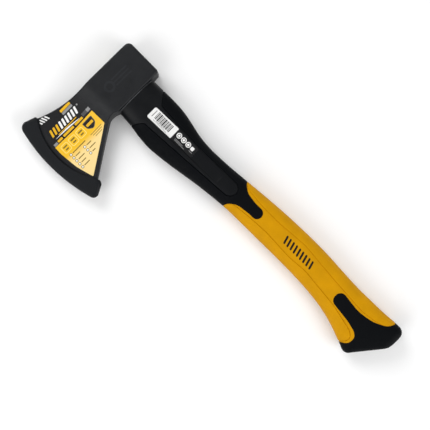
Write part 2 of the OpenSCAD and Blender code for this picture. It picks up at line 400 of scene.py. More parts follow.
def split_triangles(tri, crossed, added):
    """Splits each triangle at the points added on its crossed edges."""
    count = crossed.sum(axis=1)
    parts = [tri[count == 0]]
    for k in range(3):
        after, last = (k + 1) % 3, (k + 2) % 3
        one = (count == 1) & crossed[:, k]
        a, b, c, n = tri[one, k], tri[one, after], tri[one, last], added[one, k]
        parts += [np.stack([a, n, c], axis=1), np.stack([n, b, c], axis=1)]
        two = (count == 2) & ~crossed[:, last]
        a, b, c = tri[two, k], tri[two, after], tri[two, last]
        n, m = added[two, k], added[two, after]
        parts += [np.stack(t, axis=1) for t in ((n, b, m), (a, n, m), (a, m, c))]
    return np.concatenate(parts)


def grid_triangles(rows, columns, closed):
    """Triangles of a grid of points, wrapped round its columns where closed."""
    steps = columns if closed else columns - 1
    row, column = np.meshgrid(np.arange(rows - 1), np.arange(steps), indexing="ij")
    a = (row * columns + column).ravel()
    b = (row * columns + (column + 1) % columns).ravel()
    c, d = a + columns, b + columns
    flip = ((row + column) % 2 == 0).ravel()
    first = np.where(flip[:, None], np.stack([a, b, d], axis=1), np.stack([a, b, c], axis=1))
    second = np.where(flip[:, None], np.stack([a, d, c], axis=1), np.stack([b, d, c], axis=1))
    return np.concatenate([first, second])


def plan_sheet(corners, pitch, height, fields):
    """Sheet over the inside of an outline, lifted to height(points)."""
    outline = rounded(corners)
    low, high = outline.min(axis=0) - pitch, outline.max(axis=0) + pitch
    xs = np.arange(low[0], high[0] + pitch, pitch)
    ys = np.arange(low[1], high[1] + pitch, pitch)
    grid_y, grid_x = np.meshgrid(ys, xs, indexing="ij")
    params = np.stack([grid_x.ravel(), grid_y.ravel()], axis=1)
    fields = {"rim": lambda points: inside(points, outline), **fields}

    def place(flat):
        return np.column_stack([flat, height(flat)])

    sheet = Sheet(params, grid_triangles(len(ys), len(xs), False), place, fields)
    sheet.cut("rim", 0.0)
    sheet.keep(sheet.mean("rim") > 0)
    return sheet


def vertex_normals(points, triangles):
    a, b, c = (points[triangles[:, k]] for k in range(3))
    face = np.cross(b - a, c - a)
    normals = np.zeros_like(points)
    for k in range(3):
        np.add.at(normals, triangles[:, k], face)
    length = np.linalg.norm(normals, axis=1, keepdims=True)
    return normals / np.where(length == 0, 1, length)


def border_edges(triangles):
    """Directed edges that only one triangle uses."""
    edges = np.concatenate([triangles[:, [0, 1]], triangles[:, [1, 2]], triangles[:, [2, 0]]])
    size = triangles.max() + 1
    key = edges[:, 0] * size + edges[:, 1]
    reverse = edges[:, 1] * size + edges[:, 0]
    return edges[~np.isin(key, reverse)]


def walls(edges, count):
    """Walls from directed border edges down to copies of their points, count further on."""
    a, b = edges[:, 0], edges[:, 1]
    return np.concatenate([
        np.stack([b, a, a + count], axis=1),
        np.stack([b, a + count, b + count], axis=1),
    ])


def shell(points, under, triangles):
    """Closed solid between some triangles and copies of them under the surface."""
    count = len(points)
    sides = walls(border_edges(triangles), count)
    faces = np.concatenate([triangles, triangles[:, ::-1] + count, sides])
    return np.concatenate([points, under]), faces, len(triangles)


def symmetric_solid(sheet):
    """Closed solid between a plan sheet and its mirror image under the middle plane."""
    points = sheet.place(sheet.params)
    return shell(points, points * [1, 1, -1], sheet.triangles)


def ring_faces(rings, count, closed=False):
    """Triangles over a loft of rings that each have count points."""
    faces = grid_triangles(rings, count, True)
    if closed:
        seam = grid_triangles(2, count, True)
        seam = np.where(seam < count, seam + (rings - 1) * count, seam - count)
        faces = np.concatenate([faces, seam])
    return faces


# Blender objects -------------------------------------------------------

SHARP_ANGLE = math.radians(38)
SLIVER = 3e-6


def new_mesh(name, points, faces, materials, face_materials=None):
    """Mesh in the frame from datum points and triangles, without unused points."""
    used, index = np.unique(faces, return_inverse=True)
    faces = index.reshape(faces.shape)
    mesh = bpy.data.meshes.new(name)
    mesh.from_pydata(to_frame(points[used]).tolist(), [], faces.tolist())
    for material in materials:
        mesh.materials.append(material)
    if face_materials is not None:
        mesh.polygons.foreach_set("material_index", face_materials.astype(np.int32))
    finish_mesh(mesh)
    return mesh


def finish_mesh(mesh):
    mesh.validate()
    mesh.polygons.foreach_set("use_smooth", np.ones(len(mesh.polygons), dtype=bool))
    mesh.set_sharp_from_angle(angle=SHARP_ANGLE)
    mesh.update()


def add_piece(name, mesh, body, node, slot):
    """Object of one piece, tied to its body, with the CAD node it stands for hidden. The slot is
    not used.
    """
    piece = bpy.data.objects.new(name, mesh)
    bpy.context.scene.collection.objects.link(piece)
    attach(piece, body)
    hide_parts(node)
    return piece


def subtract(mesh, cutter):
    """Mesh with a cutter's volume taken out of it."""
    scene = bpy.context.scene
    solid = bpy.data.objects.new("boolean_solid", mesh)
    tool = bpy.data.objects.new("boolean_tool", cutter)
    scene.collection.objects.link(solid)
    scene.collection.objects.link(tool)
    modifier = solid.modifiers.new("cut", "BOOLEAN")
    modifier.operation = "DIFFERENCE"
    modifier.solver = "EXACT"
    modifier.object = tool
    graph = bpy.context.evaluated_depsgraph_get()
    result = bpy.data.meshes.new_from_object(solid.evaluated_get(graph))
    for helper in (solid, tool):
        bpy.data.objects.remove(helper)
    drop_slivers(result)
    finish_mesh(result)
    return result


def drop_slivers(mesh):
    """Takes out the faces without area that a boolean leaves."""
    work = bmesh.new()
    work.from_mesh(mesh)
    bmesh.ops.remove_doubles(work, verts=work.verts, dist=SLIVER)
    bmesh.ops.dissolve_degenerate(work, edges=work.edges, dist=SLIVER)
    bmesh.ops.triangulate(work, faces=work.faces)
    work.to_mesh(mesh)
    work.free()


# Materials -------------------------------------------------------------


def add_node(tree, kind, sockets, operation=None):
    """New node whose sockets are linked to other nodes' outputs or set to plain values."""
    node = tree.nodes.new("ShaderNode" + kind)
    if operation is not None:
        node.operation = operation
    for name, value in sockets.items():
        if isinstance(value, bpy.types.NodeSocket):
            tree.links.new(value, node.inputs[name])
        else:
            node.inputs[name].default_value = value
    return node


class Shader:
    """Principled material whose colour, roughness and bump vary through noise."""

    def __init__(self, name, colour, roughness, metallic=0.0, specular=0.5):
        self.material = bpy.data.materials.new(name)
        self.material.use_nodes = True
        self.tree = self.material.node_tree
        self.bsdf = self.tree.nodes["Principled BSDF"]
        self.colour = (*colour, 1.0)
        self.bsdf.inputs["Base Color"].default_value = self.colour
        self.bsdf.inputs["Roughness"].default_value = roughness
        self.bsdf.inputs["Metallic"].default_value = metallic
        self.bsdf.inputs["Specular IOR Level"].default_value = specular
        self.material.diffuse_color = self.colour
        self.coordinates = self.node("TexCoord", {}).outputs["Object"]
        self.normal = None

    def node(self, kind, sockets, operation=None):
        return add_node(self.tree, kind, sockets, operation)

    def feed(self, name, source):
        """Links a node's output to one of the shader's own sockets."""
        self.tree.links.new(source, self.bsdf.inputs[name])

    def noise(self, size, stretch=(1, 1, 1), detail=3.0, vector=None):
        """Noise between 0 and 1 whose features measure about size in metres."""
        mapping = self.node("Mapping", {
            "Vector": vector or self.coordinates,
            "Scale": tuple(1 / (size * share) for share in stretch),
        })
        noise = self.node("TexNoise", {
            "Vector": mapping.outputs["Vector"],
            "Scale": 1.0,
            "Detail": detail,
        })
        return noise.outputs["Fac"]

    def spread(self, source, low, high, start=0.3, stop=0.7):
        """Source between start and stop carried to a value between low and high."""
        ramp = self.node("MapRange", {
            "Value": source,
            "From Min": start,
            "From Max": stop,
            "To Min": low,
            "To Max": high,
        })
        return ramp.outputs["Result"]

    def mottle(self, source, amount):
        """Base colour that varies up and down by a share of itself."""
        scale = self.spread(source, 1 - amount, 1 + amount)
        tint = self.node("VectorMath", {0: self.colour[:3], "Scale": scale}, "SCALE")
        self.feed("Base Color", tint.outputs["Vector"])

    def fade(self, colour, start, stop):
        """Base colour that turns into another one between two heights along Y."""
        split = self.node("SeparateXYZ", {"Vector": self.coordinates})
        share = self.spread(split.outputs["Y"], 0.0, 1.0, start, stop)
        ramp = self.node("ValToRGB", {"Fac": share})
        first, last = ramp.color_ramp.elements
        first.color = self.colour
        last.color = (*colour, 1.0)
        self.feed("Base Color", ramp.outputs["Color"])

    def vary_roughness(self, source, low, high):
        self.feed("Roughness", self.spread(source, low, high))

    def bump(self, source, height):
        """Bump of a height in metres, added to the bumps made before it."""
        sockets = {"Height": source, "Distance": height}
        if self.normal is not None:
            sockets["Normal"] = self.normal
        self.normal = self.node("Bump", sockets).outputs["Normal"]
        self.feed("Normal", self.normal)


def powder_coat(name, colour):
    shader = Shader(name, colour, roughness=0.46, specular=0.3)
    shader.mottle(shader.noise(0.012), amount=0.12)
    shader.vary_roughness(shader.noise(0.006), low=0.4, high=0.54)
    shader.bump(shader.noise(0.0009, detail=2.0), height=0.00006)
    shader.bump(shader.noise(0.0045, detail=1.0), height=0.00008)
    return shader.material


def moulded_plastic(name, colour, roughness=0.42):
    shader = Shader(name, colour, roughness=roughness, specular=0.16)
    shader.mottle(shader.noise(0.02), amount=0.08)
    shader.vary_roughness(shader.noise(0.01), low=roughness - 0.05, high=roughness + 0.07)
    shader.bump(shader.noise(0.00045, detail=2.0), height=0.000018)
    return shader.material


def soft_rubber(name, colour):
    shader = Shader(name, colour, roughness=0.6, specular=0.07)
    shader.mottle(shader.noise(0.015), amount=0.06)
    shader.vary_roughness(shader.noise(0.008), low=0.54, high=0.68)
    shader.bump(shader.noise(0.0011, detail=4.0), height=0.00016)
    shader.bump(shader.noise(0.0004, detail=2.0), height=0.00004)
    return shader.material


def ground_steel(name):
    """Steel with grinding marks that run square to the curved cutting edge."""
    shader = Shader(name, (0.4, 0.4, 0.41), roughness=0.34, metallic=1.0)
    centre = to_frame([*EDGE_CENTRE, 0])
    offset = shader.node("VectorMath", {0: shader.coordinates, 1: centre}, "SUBTRACT")
    split = shader.node("SeparateXYZ", {"Vector": offset.outputs["Vector"]})
    angle = shader.node("Math", {0: split.outputs["Y"], 1: split.outputs["X"]}, "ARCTAN2")
    polar = shader.node("CombineXYZ", {"X": angle.outputs["Value"]})
    marks = shader.noise(0.002, vector=polar.outputs["Vector"], detail=5.0)
    shader.mottle(marks, amount=0.12)
    shader.vary_roughness(marks, low=0.24, high=0.4)
    shader.bump(marks, height=0.00003)
    return shader.material


def pultruded_fibre(name):
    shader = Shader(name, (0.5, 0.47, 0.3), roughness=0.45, specular=0.4)
    fibres = shader.noise(0.0005, stretch=(1, 60, 1), detail=4.0)
    shader.mottle(fibres, amount=0.22)
    shader.bump(fibres, height=0.00005)
    return shader.material


def cured_resin(name):
    shader = Shader(name, (0.075, 0.078, 0.082), roughness=0.5, specular=0.3)
    shader.mottle(shader.noise(0.0025), amount=0.4)
    shader.bump(shader.noise(0.0012), height=0.0002)
    return shader.material


def label_film(name, colour, glare_colour=None):
    """Printed film, whose colour may fade to another towards the foot of the head label, as a
    painted reflection of a light.
    """
    shader = Shader(name, colour, roughness=0.36, specular=0.25)
    if glare_colour is None:
        shader.mottle(shader.noise(0.004), amount=0.025)
    else:
        # Paler towards the label's foot: painted glare of a light, not a colour of the print
        start, stop = (to_frame([0, y, 0])[1] for y in LABEL_GLARE_SPAN)
        shader.fade(glare_colour, start, stop)
    shader.vary_roughness(shader.noise(0.003), low=0.32, high=0.42)
    shader.bump(shader.noise(0.008, detail=1.0), height=0.00004)
    return shader.material


BLACK_COAT = powder_coat("black_powder_coat", (0.0042, 0.0050, 0.0066))
ETCHED_COAT = powder_coat("etched_powder_coat", (0.0085, 0.0098, 0.0125))
GROUND_STEEL = ground_steel("ground_steel")
HARD_BLACK = moulded_plastic("hard_black_plastic", (0.0024, 0.0030, 0.0040))
SOFT_BLACK = soft_rubber("soft_black_rubber", (0.0014, 0.0019, 0.0028))
SOFT_YELLOW = soft_rubber("soft_yellow_rubber", (0.56, 0.262, 0.0))
PRINT_ON_GRIP = soft_rubber("black_grip_print", (0.012, 0.011, 0.009))
GUARD_BLACK = moulded_plastic("guard_black_plastic", (0.0052, 0.0062, 0.0078), roughness=0.5)
RESIN = cured_resin("cured_resin")
FIBRE = pultruded_fibre("pultruded_fibre")
INK_BLACK = label_film("ink_black", (0.008, 0.008, 0.009))
INK_YELLOW = label_film("ink_yellow", (0.72, 0.4, 0.012))
# Label yellow that pales towards the foot: painted reflection, the glare of a light
INK_YELLOW_GLARE = label_film("ink_yellow_painted_glare", (0.8, 0.47, 0.022), glare_colour=(0.84, 0.63, 0.27))
INK_PALE = label_film("ink_pale_yellow", (0.86, 0.68, 0.22))
INK_WHITE = label_film("ink_white", (0.78, 0.78, 0.77))
INK_GREY = label_film("ink_grey", (0.25, 0.25, 0.25))
INK_DIM = label_film("ink_dim_grey", (0.07, 0.07, 0.072))
INK_BRONZE = label_film("ink_bronze", (0.2, 0.13, 0.02))


# Handle ----------------------------------------------------------------

# Distance between rings in view and hidden, and points round the handle and round a bar
RING_PITCH = 1.25
HIDDEN_RING_PITCH = 6.0
ROUND_COUNT = 132
BAR_COUNT = 96
TABLE_PITCH = 0.25
# Height below which the skins hide the sleeve all round
HIDDEN_START = -178.0
# Heights between which the grip's rings are closer, for its print
GRIP_PRINT_REACH = (-232.0, -276.0)
# Black above this height is the neck's and below it the butt's
MID_GRIP = -250.0
TIP_GAP = 0.05
BORE_GAP = 0.05


def station_value(y, column):
    """Station value at height y, on a smooth curve through the stations."""
    heights = -HANDLE_STATIONS[:, 0]
    values = HANDLE_STATIONS[:, column]
    padded_h = np.concatenate([heights[:1], heights, heights[-1:]])
    padded_v = np.concatenate([values[:1], values, values[-1:]])
    slopes = (padded_v[2:] - padded_v[:-2]) / (padded_h[2:] - padded_h[:-2])
    depth = -np.asarray(y, dtype=float)
    i = np.clip(np.searchsorted(heights, depth, side="right") - 1, 0, len(heights) - 2)
    span = heights[i + 1] - heights[i]
    t = (depth - heights[i]) / span
    return (
        (2 * t**3 - 3 * t**2 + 1) * values[i]
        + (t**3 - 2 * t**2 + t) * slopes[i] * span
        + (3 * t**2 - 2 * t**3) * values[i + 1]
        + (t**3 - t**2) * slopes[i + 1] * span
    )


def even_path(points, count):
    """Points at even distances along a line."""
    steps = np.hypot(*np.diff(points, axis=0).T)
    reach = np.concatenate([[0], np.cumsum(steps)])
    at = np.linspace(0, reach[-1], count)
    return np.column_stack([np.interp(at, reach, points[:, k]) for k in range(2)]), reach[-1]


def station_side(column, ys):
    """Points of the front or rear side at some heights among the stations."""
    return np.column_stack([station_value(ys, column), ys])


def handle_side(column, ys, last_y, corners):
    """One side of the handle down to the butt's tip, and the length of its butt stretch."""
    flank = station_side(column, np.arange(BUTT_START, last_y, -1.0))
    turn = rounded_line([(*flank[-1], 0), *corners, (*BUTT_TIP, 0)])
    butt, reach = even_path(np.concatenate([flank[:-1], turn]), BUTT_STEPS)
    return np.concatenate([station_side(column, ys), butt]), reach


def handle_tables():
    """Distance, front points, rear points, half thickness and squareness along the handle."""
    tiny = 1e-6
    ys = np.arange(COLLAR_TOP, BUTT_START, -TABLE_PITCH)
    front, reach = handle_side(1, ys, *BUTT_FRONT)
    rear, _ = handle_side(2, ys, *BUTT_REAR)
    butt_along = COLLAR_TOP - BUTT_START + np.linspace(0, reach, BUTT_STEPS)
    along = np.concatenate([COLLAR_TOP - ys, butt_along])
    middle = (front + rear) / 2
    chord = rear - front
    length = np.maximum(np.hypot(*chord.T), tiny)
    to_tip = np.array(BUTT_TIP) - front
    height = np.abs(chord[:, 0] * to_tip[:, 1] - chord[:, 1] * to_tip[:, 0]) / length
    height[-1] = 0
    close = 1 - np.clip(height / BUTT_ROUNDING, 0, 1)
    half = station_value(middle[:, 1], 3) * (1 - close**BUTT_POWER) ** (1 / BUTT_POWER)
    near_end = np.clip(1 - height / BUTT_BLEND, 0, 1)
    squareness = SQUARENESS + (BUTT_SQUARENESS - SQUARENESS) * near_end
    return along, front, rear, half, squareness


ALONG, FRONT, REAR, HALF, SQUARE = handle_tables()
HANDLE_LENGTH = ALONG[-1]


def even_angles():
    """Angles round a section that step evenly along its edge."""
    usual_half_width, usual_half_thick = 20, 12.4
    samples = 4001
    angles = np.linspace(0, 2 * math.pi, samples)
    x = usual_half_width * superellipse(np.cos(angles), SQUARENESS)
    z = usual_half_thick * superellipse(np.sin(angles), SQUARENESS)
    reach = np.concatenate([[0], np.cumsum(np.hypot(np.diff(x), np.diff(z)))])
    return reach / reach[-1], angles


def superellipse(value, squareness):
    return np.sign(value) * np.abs(value) ** (2 / squareness)


ROUND_SHARE, ROUND_ANGLE = even_angles()


def handle_place(params):
    """Points of the plain handle at a distance along it and a share of a turn round it."""
    along, share = params[:, 0], params[:, 1] % 1
    angle = np.interp(share, ROUND_SHARE, ROUND_ANGLE)
    front, rear = (
        np.column_stack([np.interp(along, ALONG, side[:, k]) for k in range(2)])
        for side in (FRONT, REAR)
    )
    half = np.interp(along, ALONG, HALF)
    square = np.interp(along, ALONG, SQUARE)
    across = superellipse(np.cos(angle), square)[:, None]
    plan = (front + rear) / 2 + (rear - front) / 2 * across
    return np.column_stack([plan, half * superellipse(np.sin(angle), square)])


HANDLE_FIELDS = {
    "band": outline_field(BAND_CORNERS),
    "grip": outline_field(GRIP_CORNERS),
    "land": outline_field(LAND_CORNERS),
    "channel": outline_field(CHANNEL_CORNERS),
}


# Distances from each line of the handle at which its sheet is cut
HANDLE_CUTS = {
    "band": (0.0, -0.35, 0.35, -0.75, 0.75, -1.2, 1.2),
    "grip": (0.0, -0.3, 0.3, -0.65, 0.65, -1.1, 1.1),
    "land": (-0.8, -0.4, 0.0, 0.4, 0.8),
    "channel": (-0.5, 0.0, 0.25, 0.6, 1.1),
}
PRINT_CUTS = (-1.3, -0.5, 0.0)


def handle_sheet(along, lines):
    """Sheet over the handle with rings at the given distances, cut along some of its lines."""
    shares = np.arange(ROUND_COUNT) / ROUND_COUNT
    grid_a, grid_s = np.meshgrid(along, shares, indexing="ij")
    params = np.column_stack([grid_a.ravel(), grid_s.ravel()])
    triangles = grid_triangles(len(along), ROUND_COUNT, True)
    sheet = Sheet(params, triangles, handle_place, dict(HANDLE_FIELDS), turn=1.0)
    for line in lines:
        sheet.cut(line, *HANDLE_CUTS[line])
    return sheet


def groove(distance, width, depth):
    """Depth of a rounded groove at a distance from its line."""
    roundness = 1.3
    share = np.clip(1 - np.abs(distance) / width, 0, 1)
    return depth * share**roundness


def smooth_step(value):
    t = np.clip(value, 0, 1)
    return t * t * (3 - 2 * t)


def handle_points(sheet):
    """Points of the sheet with its grooves, lands and label channel worked in."""
    plain = sheet.place(sheet.params)
    normals = vertex_normals(plain, sheet.triangles)
    values = sheet.values
    depth = groove(values["band"], *BAND_GROOVE) + groove(values["grip"], *GRIP_GROOVE)
    on_grip = smooth_step(values["grip"] / GRIP_RAMP)
    depth += LAND_STEP * on_grip * smooth_step(values["land"] / LAND_RAMP + 0.5)
    depth += on_grip * groove(values["land"], *LAND_CREASE)
    points = plain - normals * depth[:, None]
    wall = CHANNEL_RISE * (1 - smooth_step(values["channel"] / CHANNEL_RAMP))
    limit = np.where(values["channel"] > 0, CHANNEL_FLOOR + wall, np.inf)
    points[:, 2] = np.sign(points[:, 2]) * np.minimum(np.abs(points[:, 2]), limit)
    return points, plain - normals * SKIN


def stadium_ring(x, length, width, y, count=ROUND_COUNT):
    """Ring round a bar with round edges, at height y, in step with the handle's rings."""
    angle = np.interp(np.arange(count) / count, ROUND_SHARE, ROUND_ANGLE)
    half_flat, radius = (length - width) / 2, width / 2
    direction = np.column_stack([np.cos(angle) * length / width, np.sin(angle)])
    direction /= np.linalg.norm(direction, axis=1, keepdims=True)
    points = []
    for dx, dz in direction:
        if abs(dz) * half_flat <= abs(dx) * radius:
            along = dx * half_flat * np.sign(dx)
            reach = along + math.sqrt(max(radius**2 - (dz * half_flat) ** 2, 0))
        else:
            reach = radius / abs(dz)
        points.append((x + dx * reach, y, dz * reach))
    return np.array(points)


def build_handle():
    """Skins on close rings, and the sleeve on rings that are wide apart where it is hidden."""
    tip = HANDLE_LENGTH - TIP_GAP
    hidden_start = COLLAR_TOP - HIDDEN_START
    sleeve_end = COLLAR_TOP - SLEEVE_END
    print_start, print_end = (COLLAR_TOP - y for y in GRIP_PRINT_REACH)
    rings = np.concatenate([
        np.arange(0, print_start, RING_PITCH),
        np.arange(print_start, print_end, RING_PITCH / 2),
        np.arange(print_end, tip - RING_PITCH / 2, RING_PITCH),
        [tip],
    ])
    build_skins(handle_sheet(rings, HANDLE_CUTS))
    rings = np.concatenate([
        np.arange(0, hidden_start, RING_PITCH),
        np.linspace(hidden_start, sleeve_end, int((sleeve_end - hidden_start) / HIDDEN_RING_PITCH)),
    ])
    build_sleeve(handle_sheet(rings, ("band", "channel")), len(rings))


def build_skins(sheet):
    """Black neck skin, yellow grip skin and black butt knob, each a closed shell."""
    add_grip_print(sheet)
    points, under = handle_points(sheet)
    in_band = sheet.mean("band") > 0
    in_grip = sheet.mean("grip") > 0
    low = points[sheet.triangles][:, :, 1].mean(axis=1) < MID_GRIP
    printed = sheet.mean("print") > 0
    upper_side = points[sheet.triangles][:, :, 2].mean(axis=1) > 0
    skins = [
        ("neck_skin", ~in_band & ~in_grip & ~low, "neck_overmould", "soft_black", SOFT_BLACK),
        ("grip_skin", in_grip, "grip_sleeve", "soft_yellow", SOFT_YELLOW),
        ("butt_knob", ~in_grip & low, "butt_cap", "soft_black", SOFT_BLACK),
    ]
    for name, mask, node, slot, material in skins:
        chosen = sheet.triangles[mask]
        shell_points, faces, count = shell(points, under, chosen)
        if name == "butt_knob":
            shell_points, faces = close_tip(shell_points, faces, len(points))
        marks = np.zeros(len(faces), dtype=int)
        marks[:count] = (printed & upper_side)[mask]
        mesh = new_mesh(name, shell_points, faces, [material, PRINT_ON_GRIP], marks)
        add_piece(name, mesh, "axe", node, slot)


def close_tip(points, faces, count):
    """Takes away the wall at the butt's tip ring and closes both of its rings."""
    tolerance = 0.02
    at_tip = points[:, 1] < points[:count, 1].min() + tolerance
    wall = at_tip[faces].all(axis=1) | ((faces >= count).any(axis=1) & at_tip[faces].any(axis=1))
    wall &= (faces < count).any(axis=1)
    faces = faces[~wall]
    return close_rings(points, faces)


def close_rings(points, faces):
    """Fans over every open ring of a surface."""
    edges = border_edges(faces)
    follow = {a: b for a, b in edges}
    while follow:
        start, here = follow.popitem()
        ring = [start]
        while here != start:
            ring.append(here)
            here = follow.pop(here)
        middle = points[ring].mean(axis=0)
        points = np.vstack([points, middle])
        tip = len(points) - 1
        fan = [(ring[(k + 1) % len(ring)], ring[k], tip) for k in range(len(ring))]
        faces = np.vstack([faces, fan])
    return points, faces


def add_grip_print(sheet):
    """Plain slanted bars along the middle of the grip, in place of a printed mark."""
    middle_x, length, width, end_radius = -25.6, 8.4, 2.1, 1.0
    first_y, last_y, pitch, slope = -237, -271, 4.2, 0.28
    bars = [
        shear(rounded(box_corners(middle_x, y, length, width, end_radius)), slope)
        for y in np.arange(first_y, last_y, -pitch)
    ]

    def nearest_bar(points):
        return np.max([inside(points, bar) for bar in bars], axis=0)

    sheet.add_field("print", nearest_bar)
    sheet.cut("print", *PRINT_CUTS)


def shear(outline, slope):
    """Outline whose right side is raised by a share of its distance from the middle."""
    middle = outline.mean(axis=0)
    moved = outline.copy()
    moved[:, 1] += (outline[:, 0] - middle[0]) * slope
    return moved


def build_sleeve(sheet, ring_count):
    """Hard inner sleeve: its tang in the eye, the visible band and collar, and the core's bore."""
    points, under = handle_points(sheet)
    size = len(points)
    in_band = sheet.mean("band") > 0
    edges = border_edges(sheet.triangles[in_band])
    top = edges.max(axis=1) < ROUND_COUNT
    faces = np.concatenate([
        sheet.triangles[in_band],
        sheet.triangles[~in_band] + size,
        walls(edges[~top], size),
    ])
    tang = (EYE_LENGTH - 2 * GLUE_GAP, EYE_WIDTH - 2 * GLUE_GAP)
    chamfer = 0.5
    bore = (CORE_X, CORE_LENGTH + BORE_GAP, CORE_WIDTH + BORE_GAP)
    rings = [
        stadium_ring(*bore, SLEEVE_END),
        stadium_ring(*bore, 0),
        stadium_ring(EYE_X, tang[0] - 2 * chamfer, tang[1] - 2 * chamfer, 0),
        stadium_ring(EYE_X, *tang, -chamfer),
        stadium_ring(EYE_X, *tang, COLLAR_TOP),
    ]
    base = 2 * size
    faces = np.concatenate([faces, ring_faces(len(rings), ROUND_COUNT) + base])
    last = (ring_count - 1) * ROUND_COUNT + size
    joins = [
        (base + (len(rings) - 1) * ROUND_COUNT, 0),
        (last, base),
    ]
    for upper, lower in joins:
        join = ring_faces(2, ROUND_COUNT)
        join = np.where(join < ROUND_COUNT, join + upper, join - ROUND_COUNT + lower)
        faces = np.concatenate([faces, join])
    points = np.concatenate([points, under, *rings])
    mesh = new_mesh("handle_inner", points, faces, [HARD_BLACK])
    add_piece("handle_inner", mesh, "axe", "handle_jacket", "hard_black")


def loft_piece(name, rings, material, node, slot, closed=False):
    """Piece lofted through rings, capped at both ends unless it closes on itself."""
    count = len(rings[0])
    faces = ring_faces(len(rings), count, closed)
    points = np.concatenate(rings)
    if not closed:
        points, faces = close_rings(points, faces)
    mesh = new_mesh(name, points, faces, [material])
    return add_piece(name, mesh, "axe", node, slot)


def build_core():
    """Pultruded rod, sawn off at both ends with a slightly broken edge."""
    broken = 0.3
    first, pitch = -10, 25.0
    heights = [0.0, -broken, *np.arange(first, CORE_END, -pitch), CORE_END + broken, CORE_END]
    rings = []
    for y in heights:
        trim = 2 * broken if y in (0.0, CORE_END) else 0.0
        ring = stadium_ring(CORE_X, CORE_LENGTH - trim, CORE_WIDTH - trim, y, BAR_COUNT)
        rings.append(ring)
    loft_piece("core_rod", rings, FIBRE, "fibreglass_core", "glass_fibre")


def collar_ring(y, outward):
    """Ring round the top of the collar, moved outward by a distance at each point."""
    share = np.arange(ROUND_COUNT) / ROUND_COUNT
    ring = handle_place(np.column_stack([np.zeros(ROUND_COUNT), share]))
    around = np.roll(ring, -1, axis=0) - np.roll(ring, 1, axis=0)
    side = np.column_stack([-around[:, 2], np.zeros(ROUND_COUNT), around[:, 0]])
    side /= np.linalg.norm(side, axis=1, keepdims=True)
    middle = ring.mean(axis=0)
    side *= np.sign(((ring - middle) * side).sum(axis=1))[:, None]
    ring = ring + side * np.reshape(outward, (-1, 1))
    ring[:, 1] = y
    return ring


def build_glue():
    """Glue between tang and eye, with the bead squeezed out between head and collar."""
    random = np.random.default_rng(7)
    gap = 0.02
    film_gap = 0.06
    share = np.arange(ROUND_COUNT) / ROUND_COUNT
    waves = np.zeros(ROUND_COUNT)
    for count in (3, 5, 8, 13, 21):
        waves += 0.5 / math.sqrt(count) * np.sin(2 * math.pi * (count * share + random.random()))
    most_swell = 0.75
    swell = np.clip(0.5 * waves - 0.05, 0.0, most_swell)
    eye = (EYE_LENGTH - film_gap, EYE_WIDTH - film_gap)
    tang = (EYE_LENGTH - 2 * GLUE_GAP + film_gap, EYE_WIDTH - 2 * GLUE_GAP + film_gap)
    top = -POLL_HEIGHT - gap
    bottom = COLLAR_TOP + gap
    # Height of each ring of the bead, its share of the swelling and its place from the edge
    bead = [
        (top, 0, -1.5),
        (top - 0.1, 0.6, -0.5),
        (top - 0.45, 1, -0.35),
        (bottom + 0.25, 1, -0.4),
        (bottom, 0.5, -0.55),
        (bottom, 0, -1.5),
    ]
    meniscus = 0.25
    rings = [
        stadium_ring(EYE_X, *eye, GLUE_TOP),
        stadium_ring(EYE_X, *eye, top),
        *(collar_ring(y, share_of_swell * swell + out) for y, share_of_swell, out in bead),
        stadium_ring(EYE_X, *tang, bottom),
        stadium_ring(EYE_X, *tang, GLUE_TOP + meniscus),
    ]
    loft_piece("glue_bead", rings, RESIN, "eye_epoxy", "cured_glue", closed=True)


# Head ------------------------------------------------------------------

HEAD_PITCH = 1.1
GUARD_PITCH = 1.0
CAVITY_PITCH = 2.0
CHEEK = rounded_line(CHEEK_CORNERS)[::-1]
FILLET_LEVELS = [1 - math.cos(math.radians(a)) for a in range(15, 91, 15)]


def cheek_half(x):
    """Half thickness of the head across its cheeks at x."""
    return np.interp(x, CHEEK[:, 0], CHEEK[:, 1])


def bevel_half(points):
    """Half thickness that the ground bevels leave."""
    return EDGE_THICK / 2 + (EDGE_RADIUS - reach_from(points, EDGE_CENTRE)) * BEVEL_SLOPE


def head_rounding(points):
    """Radius of the rounding along the head's outline, larger towards the poll."""
    least_half, share_of_half = 0.2, 0.3
    usual_radius, poll_extra = 1.5, 1.3
    poll_start, poll_blend = -9, 7
    flat = np.minimum(cheek_half(points[:, 0]), np.maximum(bevel_half(points), least_half))
    near_poll = smooth_step((points[:, 0] - poll_start) / poll_blend)
    return np.minimum(share_of_half * flat, usual_radius + poll_extra * near_poll)


def rounded_down(flat, distance, radius):
    """Height of a flat surface whose edge is rounded over at a distance from its rim."""
    inward = radius - np.clip(distance, 0, radius)
    return flat - radius + np.sqrt(np.maximum(radius**2 - inward**2, 0))


def rounded_meet(first, second, radius):
    """Distance inside two shapes at once, with the corners where they meet rounded."""
    short = np.hypot(np.maximum(radius - first, 0), np.maximum(radius - second, 0))
    return np.where(short > 0, radius - short, np.minimum(first, second))


def head_mark(points):
    """Distance inside a plain ring and bars etched on the cheek, in place of a stamped mark."""
    ring_centre, ring_radius, ring_half_line = (-43.0, -18.5), 4.4, 1.1
    bar_x, bar_length, bar_width, bar_corner = -27.5, 20, 1.6, 0.5
    shapes = [ring_half_line - np.abs(reach_from(points, ring_centre) - ring_radius)]
    for y in (-15.0, -18.5, -22.0):
        outline = rounded(box_corners(bar_x, y, bar_length, bar_width, bar_corner))
        shapes.append(inside(points, outline))
    return np.max(shapes, axis=0)


